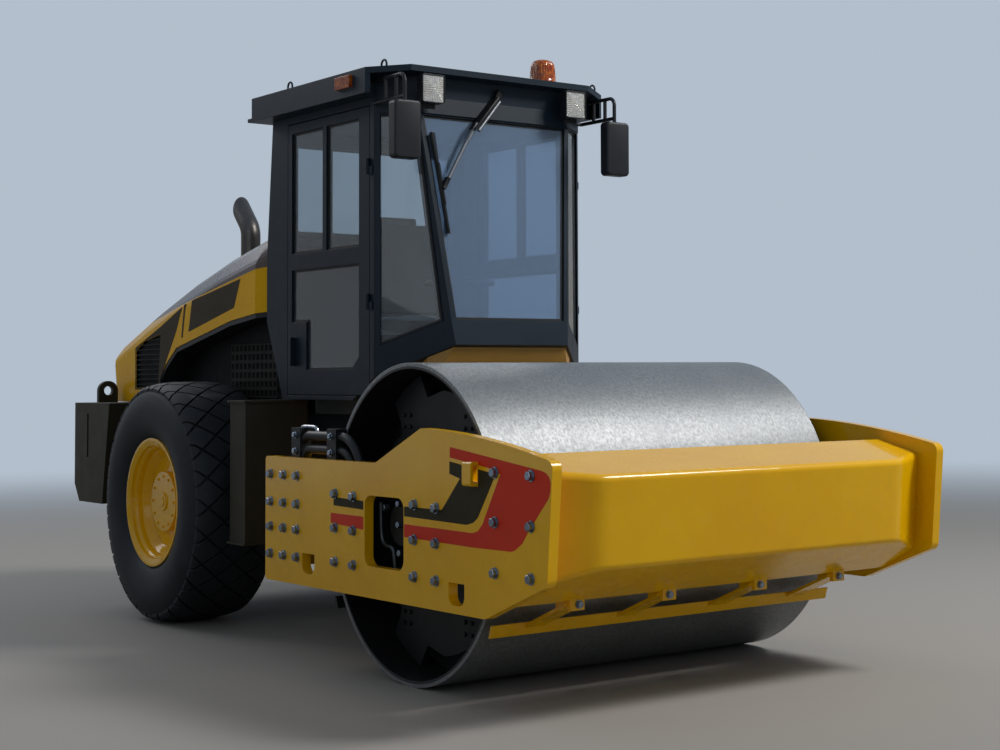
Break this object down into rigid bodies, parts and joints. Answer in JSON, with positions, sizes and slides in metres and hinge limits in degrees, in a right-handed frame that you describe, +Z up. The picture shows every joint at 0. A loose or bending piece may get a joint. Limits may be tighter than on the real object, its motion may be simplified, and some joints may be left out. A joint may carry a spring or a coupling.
{
  "type": "road roller",
  "caption": "Single-drum vibratory road roller with an articulated frame, smooth steel drum, cab and two drive wheels.",
  "frame": {"origin": "on the ground under the middle of the machine's overall box", "axes": "-Y forward, +Z up, -X to the machine's right-hand side"},
  "size_m": [2.542, 6.1917, 3.404],
  "materials": {
    "body_paint": "gloss",
    "cab_paint": "satin",
    "chassis_paint": "satin",
    "box_paint": "satin",
    "rolled_steel": "worn",
    "rod_chrome": "polished",
    "tyre_rubber": "matte",
    "rubber": "matte",
    "glass": "clear",
    "plastic": "matte",
    "lens": "clear",
    "amber": "gloss",
    "exhaust_steel": "brushed",
    "seat_cloth": "matte",
    "engine_iron": "cast"
  },
  "bodies": {
    "rear_frame": {"rear_chassis": "chassis_paint", "rear_axle": "chassis_paint", "counterweight": "box_paint", "tank_right": "box_paint", "tank_left": "box_paint", "engine_block": "engine_iron", "wheel_arches": "plastic", "bay_panels": "chassis_paint", "cab_base": "body_paint", "cab_frame": "cab_paint", "cab_roof": "cab_paint", "windscreen": "glass", "cab_panes": "glass", "seat": "seat_cloth", "steering_column": "plastic", "work_lamps": "lens", "amber_lamps": "amber", "mirrors": "plastic"},
    "yoke": {"articulation_yoke": "chassis_paint"},
    "front_frame": {"side_plate_right": "body_paint", "side_plate_left": "body_paint", "front_beam": "body_paint", "rear_beam": "body_paint", "scraper_front": "body_paint", "scraper_rear": "body_paint", "drum_mount_right": "chassis_paint", "drum_mount_left": "chassis_paint", "rubber_buffers": "rubber", "drum_hoses": "rubber"},
    "drum": {"drum_shell": "rolled_steel"},
    "wheel_right": {"tyre_right": "tyre_rubber", "rim_right": "body_paint"},
    "wheel_left": {"tyre_left": "tyre_rubber", "rim_left": "body_paint"},
    "right_door": {"door_right": "cab_paint", "door_glass_right": "glass"},
    "left_door": {"door_left": "cab_paint", "door_glass_left": "glass"},
    "engine_hood": {"hood": "body_paint", "hood_grille": "chassis_paint", "exhaust_pipe": "exhaust_steel"},
    "barrel_right": {"steer_barrel_right": "chassis_paint"},
    "barrel_left": {"steer_barrel_left": "chassis_paint"},
    "rod_right": {"steer_rod_right": "rod_chrome"},
    "rod_left": {"steer_rod_left": "rod_chrome"}
  },
  "joints": [
    {"name": "steer", "type": "hinge", "parent": "rear_frame", "child": "yoke", "pos_m": [0, -0.0825, 0.78], "axis": [0, 0, 1], "range_deg": [-33, 33]},
    {"name": "oscillate", "type": "hinge", "parent": "yoke", "child": "front_frame", "pos_m": [0, -0.3425, 0.78], "axis": [0, 1, 0], "range_deg": [-10, 10]},
    {"name": "drum_roll", "type": "hinge", "parent": "front_frame", "child": "drum", "pos_m": [0, -1.6275, 0.8], "axis": [1, 0, 0], "continuous": true},
    {"name": "wheel_right_roll", "type": "hinge", "parent": "rear_frame", "child": "wheel_right", "pos_m": [-0.8635, 1.4615, 0.755], "axis": [1, 0, 0], "continuous": true},
    {"name": "wheel_left_roll", "type": "hinge", "parent": "rear_frame", "child": "wheel_left", "pos_m": [0.8635, 1.4615, 0.755], "axis": [1, 0, 0], "continuous": true},
    {"name": "door_right_swing", "type": "hinge", "parent": "rear_frame", "child": "right_door", "pos_m": [-0.7125, -0.5685, 2.24], "axis": [0, 0, 1], "range_deg": [0, 90]},
    {"name": "door_left_swing", "type": "hinge", "parent": "rear_frame", "child": "left_door", "pos_m": [0.7125, -0.5685, 2.24], "axis": [0, 0, -1], "range_deg": [0, 90]},
    {"name": "hood_lift", "type": "hinge", "parent": "rear_frame", "child": "engine_hood", "pos_m": [0, 3.0485, 1.377], "axis": [-1, 0, 0], "range_deg": [0, 60]},
    {"name": "barrel_right_swing", "type": "hinge", "parent": "rear_frame", "child": "barrel_right", "pos_m": [-0.29, 0.4725, 0.69], "axis": [0, 0, 1], "range_deg": [-12, 12]},
    {"name": "rod_right_slide", "type": "slide", "parent": "barrel_right", "child": "rod_right", "axis": [-0.0519, -0.9987, 0], "range_m": [-0.185, 0.185]},
    {"name": "barrel_left_swing", "type": "hinge", "parent": "rear_frame", "child": "barrel_left", "pos_m": [0.29, 0.4725, 0.69], "axis": [0, 0, 1], "range_deg": [-12, 12]},
    {"name": "rod_left_slide", "type": "slide", "parent": "barrel_left", "child": "rod_left", "axis": [0.0519, -0.9987, 0], "range_m": [-0.185, 0.185]}
  ],
  "couplings": [
    {"joint": "barrel_right_swing", "follows": "steer", "ratio": 0.283},
    {"joint": "rod_right_slide", "follows": "steer", "m_per_rad": 0.311},
    {"joint": "barrel_left_swing", "follows": "steer", "ratio": 0.283},
    {"joint": "rod_left_slide", "follows": "steer", "m_per_rad": -0.311}
  ]
}
